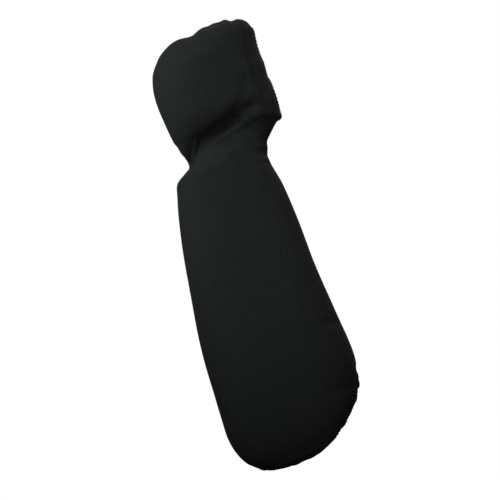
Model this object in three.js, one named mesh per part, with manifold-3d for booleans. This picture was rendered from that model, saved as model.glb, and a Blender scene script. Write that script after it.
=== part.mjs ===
// A padded cloth guard for the forearm and the fist, in the shape that it has when worn.
// Millimetres. +Z runs up the forearm to the fist, -Y is the padded outer face, +X the thumb's side.
// The origin lies on the sleeve's centre line, level with the cloth's lowest edge at the elbow, which
// its hem overhangs a little.

import * as THREE from "three";
import { mergeVertices } from "three/addons/utils/BufferGeometryUtils.js";
import Module from "manifold-3d";

const wasm = await Module();
wasm.setup();

// Outer sizes of the cloth
const FOREARM_LENGTH = 282;
const ELBOW_WIDTH = 131;
const ELBOW_DEPTH = 104;
const WRIST_WIDTH = 75;
const WRIST_DEPTH = 55;
const HAND_LENGTH = 116;
const HAND_WIDTH = 104;
const HAND_DEPTH = 88;

// Cloth, foam pads and hems
const CLOTH = 1.8;
const FOREARM_PAD_THICKNESS = 11;
const HAND_PAD_THICKNESS = 9;
const PAD_EDGE_THICKNESS = 2.5;
const GAP = 0.3;
const HEM_GAP = 0.6;
const ELBOW_HEM_WIDTH = 12;
const ELBOW_HEM_THICKNESS = 3.2;
const ELBOW_GATHER_DEPTH = 0.7;
const OPENING_HEM_WIDTH = 4;
const OPENING_HEM_THICKNESS = 3.2;
const HEM_STANDS_PROUD = 0.7;

// On the padded face the wrist's seam and the pad's end arch up, fading out over a height
const WRIST_ARCH = 10;
const WRIST_ARCH_FADE = 34;

// The elbow end: the rim climbs to the crook of the elbow, and the cloth turns in under the elbow
const RIM_RISE = 56;
const RIM_RAMP_START = -0.67;
const RIM_RAMP_POWER = 2.04;
const CROOK_ANGLE = 21;
const ROLL_HEIGHT = 45;
const ROLL_SHARE = 0.25;
const TUCK = { right: 0.06, back: 0.22, left: 0.47, front: 0.34 };

// How square the sections are: 2 is an ellipse
const FRONT_SQUARENESS = 2.5;
const BACK_SQUARENESS = 2.1;

// Sections up the forearm, then up the hand. along is a share of that length. swell goes from the
// wrist's size, 0, to the elbow's or the hand's, 1. wide and deep are shares of the swollen width
// and depth, and aside and behind shift the centre by such shares, to the thumb and to the palm.
const FOREARM_SECTIONS = table(
  ["along", "swell", "wide", "deep", "aside", "behind"],
  [0.0, 1.0, 1.0, 0.98, -0.025, -0.024],
  [0.2, 0.99, 1.0, 1.0, -0.028, -0.026],
  [0.28, 1.0, 1.0, 1.0, -0.022, -0.028],
  [0.43, 0.895, 1.0, 1.0, -0.036, -0.035],
  [0.585, 0.727, 1.0, 1.0, -0.044, -0.044],
  [0.74, 0.575, 1.0, 0.98, -0.034, -0.057],
  [0.85, 0.42, 1.0, 0.99, -0.025, -0.073],
  [0.915, 0.27, 1.0, 1.05, -0.026, -0.076],
  [0.95, 0.2, 1.0, 1.05, -0.018, -0.064],
  [0.972, 0.12, 1.0, 1.0, 0.03, -0.03],
  [0.986, 0.02, 1.0, 1.0, 0.085, 0.0],
  [1.0, 0.0, 1.0, 1.0, 0.1, 0.03],
);
const HAND_SECTIONS = table(
  ["along", "swell", "wide", "deep", "aside", "behind"],
  [0.0, 0.0, 1.0, 1.0, 0.1, 0.03],
  [0.06, 0.26, 1.0, 0.87, 0.124, 0.043],
  [0.108, 0.524, 1.0, 0.83, 0.131, 0.042],
  [0.155, 0.79, 1.0, 0.833, 0.148, 0.034],
  [0.2, 0.862, 1.0, 0.893, 0.14, 0.033],
  [0.293, 0.945, 1.0, 0.963, 0.131, 0.029],
  [0.388, 0.976, 1.0, 1.0, 0.12, 0.029],
  [0.483, 0.983, 1.0, 1.0, 0.109, 0.025],
  [0.578, 1.0, 1.0, 1.0, 0.108, 0.02],
  [0.664, 1.0, 0.972, 0.985, 0.105, 0.016],
  [0.759, 1.0, 0.94, 0.955, 0.122, 0.011],
  [0.853, 1.0, 0.87, 0.835, 0.166, 0.003],
  [0.897, 1.0, 0.8, 0.727, 0.19, 0.0],
  [0.94, 1.0, 0.686, 0.57, 0.222, 0.0],
  [0.974, 1.0, 0.48, 0.364, 0.27, 0.0],
  [0.994, 1.0, 0.24, 0.18, 0.288, 0.0],
  [1.0, 1.0, 0.0, 0.0, 0.29, 0.0],
);

// Folds are valleys between two points of the cloth, each an angle and a share of the whole height.
// depth and spread are shares of the wrist's depth.
const FOLDS = table(
  ["fromAngle", "fromHeight", "toAngle", "toHeight", "depth", "spread"],
  [190, 0.708, 300, 0.79, 0.1, 0.1],
  [284, 0.697, 345, 0.687, 0.055, 0.055],
  [318, 0.79, 322, 0.95, 0.035, 0.1],
  [318, 0.284, 346, 0.272, 0.022, 0.08],
  [300, 0.141, 345, 0.127, 0.028, 0.08],
  [30, 0.705, 150, 0.715, 0.06, 0.06],
  [60, 0.745, 165, 0.735, 0.05, 0.06],
  [20, 0.24, 80, 0.25, 0.05, 0.09],
  [15, 0.31, 70, 0.33, 0.035, 0.09],
);

// Rows of faces: each stretch ends at a share of the way, and has a count of rows
const AROUND = 36;
const FOREARM_ROWS = table(["until", "rows"], [0.2, 6], [0.8, 9], [1.0, 11]);
const HAND_ROWS = table(["until", "rows"], [0.26, 8], [0.62, 5], [1.0, 10]);

// Openings in the hand: the middle's angle and share of the hand's height, half widths as an angle
// and as a share of that height, the lean as a share of it too, and how square the corners are
const FINGER_OPENING = {
  angle: 78,
  height: 0.645,
  halfAngle: 80,
  halfHeight: 0.19,
  lean: 0.11,
  squareness: 2.6,
  steps: 44,
};
const THUMB_OPENING = {
  angle: 22,
  height: 0.315,
  halfAngle: 28,
  halfHeight: 0.155,
  lean: 0,
  squareness: 2.2,
  steps: 28,
};
const CUT_REACH = 8;
const CUT_RINGS = 6;

// Pads, each from one angle to another and between two shares of the way up its cloth
const FOREARM_PAD = { fromAngle: 170, toAngle: 360, from: 0.03, to: 0.93 };
const HAND_PAD = { fromAngle: 180, toAngle: 330, from: 0.14, to: 0.84 };
const PAD_BEVEL = 0.16;

// A table's rows become records with the named columns
function table(columns, ...rows) {
  return rows.map((row) => Object.fromEntries(columns.map((name, i) => [name, row[i]])));
}

const mix = THREE.MathUtils.lerp;
const radians = THREE.MathUtils.degToRad;

// Smooth curve through the rows of a table, at a place counted in rows
function rowAt(rows, place) {
  const last = rows.length - 1;
  const first = Math.min(Math.max(Math.floor(place), 0), last - 1);
  const t = place - first;
  const row = {};
  for (const name of Object.keys(rows[0])) {
    const a = rows[Math.max(first - 1, 0)][name];
    const b = rows[first][name];
    const c = rows[first + 1][name];
    const d = rows[Math.min(first + 2, last)][name];
    const slopeB = (c - a) / 2;
    const slopeC = (d - b) / 2;
    const cubic = 2 * b - 2 * c + slopeB + slopeC;
    const square = 3 * c - 3 * b - 2 * slopeB - slopeC;
    row[name] = ((cubic * t + square) * t + slopeB) * t + b;
  }
  return row;
}

// The place in a table where its column along reaches a share
function placeAt(rows, share) {
  let low = 0;
  let high = rows.length - 1;
  for (let halving = 0; halving < 20; halving += 1) {
    const middle = (low + high) / 2;
    if (rowAt(rows, middle).along < share) {
      low = middle;
    } else {
      high = middle;
    }
  }
  return (low + high) / 2;
}

// How deep the folds press the cloth in at an angle and a height
function foldDepth(angle, height, radius) {
  const whole = FOREARM_LENGTH + HAND_LENGTH;
  let depth = 0;
  for (const fold of FOLDS) {
    const turn = THREE.MathUtils.euclideanModulo(angle - fold.fromAngle + 180, 360) - 180;
    const across = radians(turn) * radius;
    const up = height - fold.fromHeight * whole;
    const runAcross = radians(fold.toAngle - fold.fromAngle) * radius;
    const runUp = (fold.toHeight - fold.fromHeight) * whole;
    const along = (across * runAcross + up * runUp) / (runAcross ** 2 + runUp ** 2);
    const held = THREE.MathUtils.clamp(along, 0, 1);
    const away = Math.hypot(across - held * runAcross, up - held * runUp);
    depth += fold.depth * WRIST_DEPTH * Math.exp(-((away / (fold.spread * WRIST_DEPTH)) ** 2));
  }
  return depth;
}

// A height near the wrist, lifted on the padded face by the arch of the seam
function archedHeight(angle, height) {
  const front = Math.max(0, -Math.sin(radians(angle)));
  const near = Math.exp(-(((height - FOREARM_LENGTH) / WRIST_ARCH_FADE) ** 2));
  return height + WRIST_ARCH * front ** 2 * near;
}

// A point of the cloth's outer face: a section's place at an angle, pressed in by folds and tuck
function facePoint(full, row, angle, height, tuck) {
  const swollenWidth = mix(WRIST_WIDTH, full.width, row.swell);
  const swollenDepth = mix(WRIST_DEPTH, full.depth, row.swell);
  const halfWidth = (swollenWidth * row.wide) / 2;
  const halfDepth = (swollenDepth * row.deep) / 2;
  const cos = Math.cos(radians(angle));
  const sin = Math.sin(radians(angle));
  const squareness = mix(BACK_SQUARENESS, FRONT_SQUARENESS, (1 - sin) / 2);
  const radius = Math.hypot(halfWidth * cos, halfDepth * sin);
  const lifted = archedHeight(angle, height);
  const pressed = radius > 0 ? foldDepth(angle, lifted, (halfWidth + halfDepth) / 2) / radius : 0;
  const kept = (1 - tuck) * (1 - Math.min(pressed, 0.5));
  const power = 2 / squareness;
  return new THREE.Vector3(
    swollenWidth * row.aside + Math.sign(cos) * Math.abs(cos) ** power * halfWidth * kept,
    swollenDepth * row.behind + Math.sign(sin) * Math.abs(sin) ** power * halfDepth * kept,
    lifted,
  );
}

// The elbow rim's height at an angle: lowest under the elbow, highest in its crook
function rimHeight(angle) {
  const towardCrook = Math.cos(radians(angle - CROOK_ANGLE));
  const ramp = Math.max(0, (towardCrook - RIM_RAMP_START) / (1 - RIM_RAMP_START));
  return RIM_RISE * ramp ** RIM_RAMP_POWER;
}

// How far the cloth turns in at the elbow rim, as a share of the section
function tuckAt(angle) {
  const cos = Math.cos(radians(angle));
  const sin = Math.sin(radians(angle));
  const side = cos > 0 ? TUCK.right : TUCK.left;
  const face = sin > 0 ? TUCK.back : TUCK.front;
  return side * cos ** 2 + face * sin ** 2;
}

// The forearm's outer face: share runs from the elbow rim, 0, to the wrist, 1
function forearmFace(angle, share) {
  const rim = rimHeight(angle);
  const turn = Math.min(share / ROLL_SHARE, 1) * (Math.PI / 2);
  const straight = Math.max(share - ROLL_SHARE, 0) / (1 - ROLL_SHARE);
  const climb = ROLL_HEIGHT * (1 - Math.cos(turn)) + (FOREARM_LENGTH - rim - ROLL_HEIGHT) * straight;
  const height = rim + climb;
  const row = rowAt(FOREARM_SECTIONS, placeAt(FOREARM_SECTIONS, height / FOREARM_LENGTH));
  const full = { width: ELBOW_WIDTH, depth: ELBOW_DEPTH };
  return facePoint(full, row, angle, height, tuckAt(angle) * (1 - Math.sin(turn)));
}

// The hand's outer face: share runs from the wrist, 0, to the top of the knuckles, 1
function handFace(angle, share) {
  const row = rowAt(HAND_SECTIONS, share * (HAND_SECTIONS.length - 1));
  const height = FOREARM_LENGTH + HAND_LENGTH * row.along;
  return facePoint({ width: HAND_WIDTH, depth: HAND_DEPTH }, row, angle, height, 0);
}

// A face measured by the length of the way up it at each angle
class Skin {
  static STEPS = 160;
  static NORMAL_TURN = 1.5;
  static NORMAL_STEP = 0.006;
  static NEAR_TOP = 0.995;
  static TOP = 0.9999;

  constructor(face) {
    this.face = face;
    this.ways = new Map();
  }

  way(angle) {
    if (!this.ways.has(angle)) {
      const lengths = [0];
      let before = this.face(angle, 0);
      for (let i = 1; i <= Skin.STEPS; i += 1) {
        const point = this.face(angle, i / Skin.STEPS);
        lengths.push(lengths[i - 1] + point.distanceTo(before));
        before = point;
      }
      this.ways.set(angle, lengths);
    }
    return this.ways.get(angle);
  }

  length(angle) {
    return this.way(angle)[Skin.STEPS];
  }

  share(angle, distance) {
    const lengths = this.way(angle);
    const held = THREE.MathUtils.clamp(distance, 0, lengths[Skin.STEPS]);
    let i = 1;
    while (i < Skin.STEPS && lengths[i] < held) {
      i += 1;
    }
    return (i - 1 + (held - lengths[i - 1]) / (lengths[i] - lengths[i - 1])) / Skin.STEPS;
  }

  point(angle, distance) {
    return this.face(angle, this.share(angle, distance));
  }

  normal(angle, distance) {
    const share = this.share(angle, distance);
    const low = Math.max(share - Skin.NORMAL_STEP, 0);
    const high = Math.min(share + Skin.NORMAL_STEP, Skin.TOP);
    const level = Math.min(share, Skin.NEAR_TOP);
    const around = this.face(angle + Skin.NORMAL_TURN, level);
    around.sub(this.face(angle - Skin.NORMAL_TURN, level));
    const up = this.face(angle, high).sub(this.face(angle, low));
    return around.cross(up).normalize();
  }
}

const FOREARM = new Skin(forearmFace);
const HAND = new Skin(handFace);

// Indexed faces become a geometry whose faces point out
function solid(points, faces) {
  const geometry = new THREE.BufferGeometry();
  const positions = points.flatMap((point) => [point.x, point.y, point.z]);
  let volume = 0;
  for (const [a, b, c] of faces) {
    volume += points[a].dot(points[b].clone().cross(points[c]));
  }
  const turned = volume < 0 ? faces.map(([a, b, c]) => [a, c, b]) : faces;
  geometry.setAttribute("position", new THREE.Float32BufferAttribute(positions, 3));
  geometry.setIndex(turned.flat());
  geometry.computeVertexNormals();
  return geometry;
}

function quad(faces, a, b, c, d) {
  faces.push([a, b, c], [a, c, d]);
}

// Shares of the way for a list of stretches with their own row counts
function rowShares(stretches) {
  const shares = [0];
  let from = 0;
  for (const { until, rows } of stretches) {
    for (let i = 1; i <= rows; i += 1) {
      shares.push(mix(from, until, i / rows));
    }
    from = until;
  }
  return shares;
}

// A cloth wall all the way round, between two distances up the skin, from outer to inner offset.
// A closed top ends in one point of each face.
function wall({ skin, from, to, shares, around, outer, inner, closedTop, levelTop, levelFoot }) {
  const points = [];
  const faces = [];
  const rows = closedTop ? shares.length - 1 : shares.length;
  const place = (side, row, i) => (side * rows + row) * around + (i % around);
  for (const offset of [outer, inner]) {
    for (let row = 0; row < rows; row += 1) {
      for (let i = 0; i < around; i += 1) {
        const angle = (360 * i) / around;
        const distance = mix(from(angle), to(angle), shares[row]);
        const normal = skin.normal(angle, distance);
        if ((levelFoot && row === 0) || (levelTop && row === rows - 1)) {
          normal.setZ(0).normalize();
        }
        points.push(skin.point(angle, distance).addScaledVector(normal, offset(angle)));
      }
    }
  }
  for (let i = 0; i < around; i += 1) {
    for (let row = 0; row < rows - 1; row += 1) {
      quad(faces, place(0, row, i), place(0, row, i + 1), place(0, row + 1, i + 1), place(0, row + 1, i));
      quad(faces, place(1, row, i), place(1, row + 1, i), place(1, row + 1, i + 1), place(1, row, i + 1));
    }
    quad(faces, place(0, 0, i), place(1, 0, i), place(1, 0, i + 1), place(0, 0, i + 1));
    if (!closedTop) {
      const top = rows - 1;
      quad(faces, place(0, top, i), place(0, top, i + 1), place(1, top, i + 1), place(1, top, i));
    }
  }
  if (closedTop) {
    const up = new THREE.Vector3(0, 0, 1);
    const tip = skin.point(0, to(0));
    const tops = [outer, inner].map((offset) => tip.clone().addScaledVector(up, offset(0)));
    const first = points.push(...tops) - 2;
    for (let i = 0; i < around; i += 1) {
      faces.push([place(0, rows - 1, i), place(0, rows - 1, i + 1), first]);
      faces.push([place(1, rows - 1, i + 1), place(1, rows - 1, i), first + 1]);
    }
  }
  return solid(points, faces);
}

// A foam pad that lies under a cloth wall, on the same rows and columns of points: full in the
// middle and thin along its border
function pad(cloth, { fromAngle, toAngle, from, to }, thickness) {
  const columns = [];
  for (let i = 0; i <= 2 * cloth.around; i += 1) {
    const angle = (360 * i) / cloth.around;
    if (angle >= fromAngle && angle <= toAngle) {
      columns.push(angle % 360);
    }
  }
  const rows = cloth.shares.filter((share) => share >= from && share <= to);
  const across = columns.length - 1;
  const up = rows.length - 1;
  const points = [];
  const faces = [];
  const place = (side, row, i) => (side * (up + 1) + row) * (across + 1) + i;
  for (const side of [0, 1]) {
    for (let row = 0; row <= up; row += 1) {
      const reached = (rows[row] - rows[0]) / (rows[up] - rows[0]);
      for (let i = 0; i <= across; i += 1) {
        const angle = columns[i];
        const distance = mix(cloth.from(angle), cloth.to(angle), rows[row]);
        const edge = Math.min(i / across, 1 - i / across, reached, 1 - reached);
        const full = Math.sin((Math.min(edge / PAD_BEVEL, 1) * Math.PI) / 2);
        const offset = -(CLOTH + GAP) - side * mix(PAD_EDGE_THICKNESS, thickness, full);
        const normal = cloth.skin.normal(angle, distance);
        points.push(cloth.skin.point(angle, distance).addScaledVector(normal, offset));
      }
    }
  }
  for (let row = 0; row < up; row += 1) {
    for (let i = 0; i < across; i += 1) {
      quad(faces, place(0, row, i), place(0, row, i + 1), place(0, row + 1, i + 1), place(0, row + 1, i));
      quad(faces, place(1, row, i), place(1, row + 1, i), place(1, row + 1, i + 1), place(1, row, i + 1));
    }
    const end = across;
    quad(faces, place(0, row, 0), place(0, row + 1, 0), place(1, row + 1, 0), place(1, row, 0));
    quad(faces, place(0, row, end), place(1, row, end), place(1, row + 1, end), place(0, row + 1, end));
  }
  for (let i = 0; i < across; i += 1) {
    quad(faces, place(0, 0, i), place(1, 0, i), place(1, 0, i + 1), place(0, 0, i + 1));
    quad(faces, place(0, up, i), place(0, up, i + 1), place(1, up, i + 1), place(1, up, i));
  }
  return solid(points, faces);
}

// A place inside an opening: reach 0 is its middle, 1 its edge, and turn goes round it
function openingPlace(opening, turn, reach) {
  const cos = Math.cos(turn);
  const sin = Math.sin(turn);
  const power = 2 / opening.squareness;
  const sideways = Math.sign(cos) * Math.abs(cos) ** power * reach;
  const upward = Math.sign(sin) * Math.abs(sin) ** power * reach;
  const angle = opening.angle - opening.halfAngle * sideways;
  const lift = opening.lean * sideways + opening.halfHeight * upward;
  const place = placeAt(HAND_SECTIONS, opening.height + lift) / (HAND_SECTIONS.length - 1);
  const lengths = HAND.way(angle);
  const step = place * Skin.STEPS;
  const below = Math.floor(step);
  const distance = mix(lengths[below], lengths[Math.min(below + 1, Skin.STEPS)], step - below);
  return { point: HAND.point(angle, distance), normal: HAND.normal(angle, distance) };
}

// The edge of an opening at a turn, with the cloth's normal and the way out from the opening
function openingEdge(opening, turn) {
  const step = 0.01;
  const { point, normal } = openingPlace(opening, turn, 1);
  const ahead = openingPlace(opening, turn + step, 1).point;
  const along = ahead.sub(openingPlace(opening, turn - step, 1).point).normalize();
  const outward = along.cross(normal).normalize();
  const toMiddle = openingPlace(opening, turn, 0.9).point.sub(point);
  if (outward.dot(toMiddle) > 0) {
    outward.negate();
  }
  return { point, normal, outward };
}

// The doubled cloth round an opening's edge
function openingHem(opening) {
  const points = [];
  const faces = [];
  const low = HEM_STANDS_PROUD - OPENING_HEM_THICKNESS;
  const bevel = OPENING_HEM_THICKNESS * 0.3;
  const section = [
    [0, low + bevel],
    [bevel, low],
    [OPENING_HEM_WIDTH, low],
    [OPENING_HEM_WIDTH, HEM_STANDS_PROUD],
    [bevel, HEM_STANDS_PROUD],
    [0, HEM_STANDS_PROUD - bevel],
  ];
  for (let i = 0; i < opening.steps; i += 1) {
    const { point, normal, outward } = openingEdge(opening, (2 * Math.PI * i) / opening.steps);
    for (const [out, up] of section) {
      points.push(point.clone().addScaledVector(outward, out).addScaledVector(normal, up));
    }
  }
  const place = (i, k) => (i % opening.steps) * section.length + (k % section.length);
  for (let i = 0; i < opening.steps; i += 1) {
    for (let k = 0; k < section.length; k += 1) {
      quad(faces, place(i, k), place(i + 1, k), place(i + 1, k + 1), place(i, k + 1));
    }
  }
  return solid(points, faces);
}

// The block that is cut out of the cloth for an opening and its hem
function openingCut(opening) {
  const points = [];
  const faces = [];
  const rim = OPENING_HEM_WIDTH + HEM_GAP;
  for (const reach of [CUT_REACH, -CUT_REACH]) {
    const middle = openingPlace(opening, 0, 0);
    points.push(middle.point.addScaledVector(middle.normal, reach));
    for (let ring = 1; ring <= CUT_RINGS; ring += 1) {
      for (let i = 0; i < opening.steps; i += 1) {
        const turn = (2 * Math.PI * i) / opening.steps;
        if (ring < CUT_RINGS) {
          const { point, normal } = openingPlace(opening, turn, ring / CUT_RINGS);
          points.push(point.addScaledVector(normal, reach));
        } else {
          const { point, normal, outward } = openingEdge(opening, turn);
          points.push(point.addScaledVector(outward, rim).addScaledVector(normal, reach));
        }
      }
    }
  }
  const perSide = 1 + CUT_RINGS * opening.steps;
  const place = (side, ring, i) => side * perSide + 1 + (ring - 1) * opening.steps + (i % opening.steps);
  for (let i = 0; i < opening.steps; i += 1) {
    for (const side of [0, 1]) {
      const middle = side * perSide;
      const turned = (a, b, c) => faces.push(side === 0 ? [a, b, c] : [a, c, b]);
      turned(middle, place(side, 1, i), place(side, 1, i + 1));
      for (let ring = 1; ring < CUT_RINGS; ring += 1) {
        turned(place(side, ring, i), place(side, ring + 1, i), place(side, ring + 1, i + 1));
        turned(place(side, ring, i), place(side, ring + 1, i + 1), place(side, ring, i + 1));
      }
    }
    const rimPlace = (side, k) => place(side, CUT_RINGS, k);
    quad(faces, rimPlace(0, i), rimPlace(1, i), rimPlace(1, i + 1), rimPlace(0, i + 1));
  }
  return solid(points, faces);
}

// A geometry as a solid that can be cut
function toManifold(geometry) {
  const bare = geometry.clone();
  bare.deleteAttribute("normal");
  const merged = mergeVertices(bare, 1e-4);
  return new wasm.Manifold(
    new wasm.Mesh({
      numProp: 3,
      vertProperties: new Float32Array(merged.attributes.position.array),
      triVerts: new Uint32Array(merged.index.array),
    }),
  );
}

function fromManifold(body) {
  const mesh = body.getMesh();
  const geometry = new THREE.BufferGeometry();
  geometry.setAttribute("position", new THREE.BufferAttribute(mesh.vertProperties, 3));
  geometry.setIndex(new THREE.BufferAttribute(mesh.triVerts, 1));
  geometry.computeVertexNormals();
  return geometry;
}

// The cloth tube of the forearm, from the elbow hem to the wrist seam
const FOREARM_CLOTH = {
  skin: FOREARM,
  from: () => ELBOW_HEM_WIDTH + HEM_GAP,
  to: (angle) => FOREARM.length(angle) - GAP,
  shares: rowShares(FOREARM_ROWS),
  around: AROUND,
  outer: () => 0,
  inner: () => -CLOTH,
  levelTop: true,
};

// The cloth hood over the fist, from the wrist seam to the top of the knuckles
const HAND_CLOTH = {
  skin: HAND,
  from: () => 0,
  to: (angle) => HAND.length(angle),
  shares: rowShares(HAND_ROWS),
  around: AROUND,
  outer: () => 0,
  inner: () => -CLOTH,
  closedTop: true,
  levelFoot: true,
};

// The hem round the elbow opening, gathered on every other column of points
function elbowHem() {
  const gathers = AROUND / 2;
  const gather = (angle) => (ELBOW_GATHER_DEPTH * (1 + Math.cos(radians(angle) * gathers))) / 2;
  return wall({
    skin: FOREARM,
    from: () => 0,
    to: () => ELBOW_HEM_WIDTH,
    shares: [0, 0.5, 1],
    around: AROUND,
    outer: (angle) => HEM_STANDS_PROUD + gather(angle),
    inner: () => HEM_STANDS_PROUD - ELBOW_HEM_THICKNESS,
  });
}

// The hood with its openings cut for the fingers and the thumb
function handMitt() {
  const cuts = [FINGER_OPENING, THUMB_OPENING].map((opening) => toManifold(openingCut(opening)));
  return fromManifold(toManifold(wall(HAND_CLOTH)).subtract(cuts[0]).subtract(cuts[1]));
}

// Finishes
const KNIT = { color: 0x1e2120, roughness: 0.93, metalness: 0 };
const FOAM_COVER = { color: 0x2b2e2d, roughness: 0.96, metalness: 0 };
const HEM_TAPE = { color: 0x191c1b, roughness: 0.9, metalness: 0 };

function piece(name, geometry, finish) {
  const mesh = new THREE.Mesh(geometry, new THREE.MeshStandardMaterial(finish));
  mesh.name = name;
  return mesh;
}

const guard = new THREE.Group();
guard.add(piece("forearm_sleeve", wall(FOREARM_CLOTH), KNIT));
guard.add(piece("hand_mitt", handMitt(), KNIT));
guard.add(piece("forearm_pad", pad(FOREARM_CLOTH, FOREARM_PAD, FOREARM_PAD_THICKNESS), FOAM_COVER));
guard.add(piece("hand_pad", pad(HAND_CLOTH, HAND_PAD, HAND_PAD_THICKNESS), FOAM_COVER));
guard.add(piece("elbow_hem", elbowHem(), HEM_TAPE));
guard.add(piece("finger_hem", openingHem(FINGER_OPENING), HEM_TAPE));
guard.add(piece("thumb_hem", openingHem(THUMB_OPENING), HEM_TAPE));

export default guard;
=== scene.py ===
import bpy
import numpy as np
from mathutils import Matrix, Vector


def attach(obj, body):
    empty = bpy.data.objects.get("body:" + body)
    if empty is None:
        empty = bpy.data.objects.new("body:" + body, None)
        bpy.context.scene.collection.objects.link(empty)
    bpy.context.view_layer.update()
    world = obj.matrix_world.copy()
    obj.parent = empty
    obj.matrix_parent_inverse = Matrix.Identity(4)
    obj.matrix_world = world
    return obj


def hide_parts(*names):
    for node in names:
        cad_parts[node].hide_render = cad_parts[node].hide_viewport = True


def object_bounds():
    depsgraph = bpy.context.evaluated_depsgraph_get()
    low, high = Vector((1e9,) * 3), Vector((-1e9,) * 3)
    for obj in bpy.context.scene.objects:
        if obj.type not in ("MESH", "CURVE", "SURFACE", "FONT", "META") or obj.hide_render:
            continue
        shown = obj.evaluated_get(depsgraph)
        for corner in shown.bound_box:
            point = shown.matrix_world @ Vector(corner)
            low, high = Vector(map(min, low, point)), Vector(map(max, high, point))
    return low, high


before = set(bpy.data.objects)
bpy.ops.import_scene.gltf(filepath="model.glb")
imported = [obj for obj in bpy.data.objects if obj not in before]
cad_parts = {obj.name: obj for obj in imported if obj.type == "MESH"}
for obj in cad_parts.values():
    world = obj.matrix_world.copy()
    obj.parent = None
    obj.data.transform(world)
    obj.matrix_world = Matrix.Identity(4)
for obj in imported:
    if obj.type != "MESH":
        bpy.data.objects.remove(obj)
cad_low, cad_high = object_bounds()
random = np.random.default_rng(7)
MM = 0.001

# Outer sizes of the cloth
FOREARM_LENGTH = 282 * MM
ELBOW_WIDTH = 131 * MM
ELBOW_DEPTH = 104 * MM
WRIST_WIDTH = 75 * MM
WRIST_DEPTH = 55 * MM
HAND_LENGTH = 116 * MM
HAND_WIDTH = 104 * MM
HAND_DEPTH = 88 * MM

# Cloth, foam pads and hems
CLOTH = 1.8 * MM
GAP = 0.3 * MM
FOREARM_PAD_THICKNESS = 11 * MM
HAND_PAD_THICKNESS = 9 * MM
PAD_EDGE_THICKNESS = 2.5 * MM
ELBOW_HEM_WIDTH = 12 * MM
OPENING_HEM_WIDTH = 4 * MM
HEM_THICKNESS = 3.2 * MM
HEM_STANDS_PROUD = 0.7 * MM
HEM_TUCK = 2.4 * MM

# On the padded face the wrist's folds and the pad's end arch up, fading out over a height
WRIST_ARCH = 10 * MM
WRIST_ARCH_FADE = 34 * MM

# The elbow end: the rim climbs toward its crook's side, and the cloth turns in all round it
RIM_RISE = 56 * MM
RIM_RAMP_START = -0.67
RIM_RAMP_POWER = 2.04
CROOK_ANGLE = 21
ROLL_HEIGHT = 45 * MM
ROLL_SHARE = 0.25
TUCK = {"right": 0.06, "back": 0.22, "left": 0.47, "front": 0.34}

# How square the sections are: 2 is an ellipse
FRONT_SQUARENESS = 2.5
BACK_SQUARENESS = 2.1

# Sections up the forearm, then up the hand: along, swell, wide, deep, aside, behind
FOREARM_SECTIONS = np.array(
    [
        [0.0, 1.0, 1.0, 0.98, -0.025, -0.024],
        [0.2, 0.99, 1.0, 1.0, -0.028, -0.026],
        [0.28, 1.0, 1.0, 1.0, -0.022, -0.028],
        [0.43, 0.895, 1.0, 1.0, -0.036, -0.035],
        [0.585, 0.727, 1.0, 1.0, -0.044, -0.044],
        [0.74, 0.575, 1.0, 0.98, -0.034, -0.057],
        [0.85, 0.42, 1.0, 0.99, -0.025, -0.073],
        [0.915, 0.27, 1.0, 1.05, -0.026, -0.076],
        [0.95, 0.2, 1.0, 1.05, -0.018, -0.064],
        [0.972, 0.12, 1.0, 1.0, 0.03, -0.03],
        [0.986, 0.02, 1.0, 1.0, 0.085, 0.0],
        [1.0, 0.0, 1.0, 1.0, 0.1, 0.03],
    ]
)
HAND_SECTIONS = np.array(
    [
        [0.0, 0.0, 1.0, 1.0, 0.1, 0.03],
        [0.06, 0.26, 1.0, 0.87, 0.124, 0.043],
        [0.108, 0.524, 1.0, 0.83, 0.131, 0.042],
        [0.155, 0.79, 1.0, 0.833, 0.148, 0.034],
        [0.2, 0.862, 1.0, 0.893, 0.14, 0.033],
        [0.293, 0.945, 1.0, 0.963, 0.131, 0.029],
        [0.388, 0.976, 1.0, 1.0, 0.12, 0.029],
        [0.483, 0.983, 1.0, 1.0, 0.109, 0.025],
        [0.578, 1.0, 1.0, 1.0, 0.108, 0.02],
        [0.664, 1.0, 0.972, 0.985, 0.105, 0.016],
        [0.759, 1.0, 0.94, 0.955, 0.122, 0.011],
        [0.853, 1.0, 0.87, 0.835, 0.166, 0.003],
        [0.897, 1.0, 0.8, 0.727, 0.19, 0.0],
        [0.94, 1.0, 0.686, 0.57, 0.222, 0.0],
        [0.974, 1.0, 0.48, 0.364, 0.27, 0.0],
        [0.994, 1.0, 0.24, 0.18, 0.288, 0.0],
        [1.0, 1.0, 0.0, 0.0, 0.29, 0.0],
    ]
)
ALONG, SWELL, WIDE, DEEP, ASIDE, BEHIND = range(6)

# Main folds: from angle, from height, to angle, to height, depth, spread. Heights are shares of the
# whole height, and depth and spread are shares of the wrist's depth.
FOLDS = [
    [190, 0.708, 300, 0.79, 0.1, 0.1],
    [284, 0.697, 345, 0.687, 0.055, 0.055],
    [318, 0.79, 322, 0.95, 0.022, 0.1],
    [318, 0.284, 346, 0.272, 0.022, 0.08],
    [300, 0.141, 345, 0.127, 0.028, 0.08],
    [30, 0.705, 150, 0.715, 0.06, 0.06],
    [60, 0.745, 165, 0.735, 0.05, 0.06],
    [20, 0.24, 80, 0.25, 0.05, 0.09],
    [15, 0.31, 70, 0.33, 0.035, 0.09],
]

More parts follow.
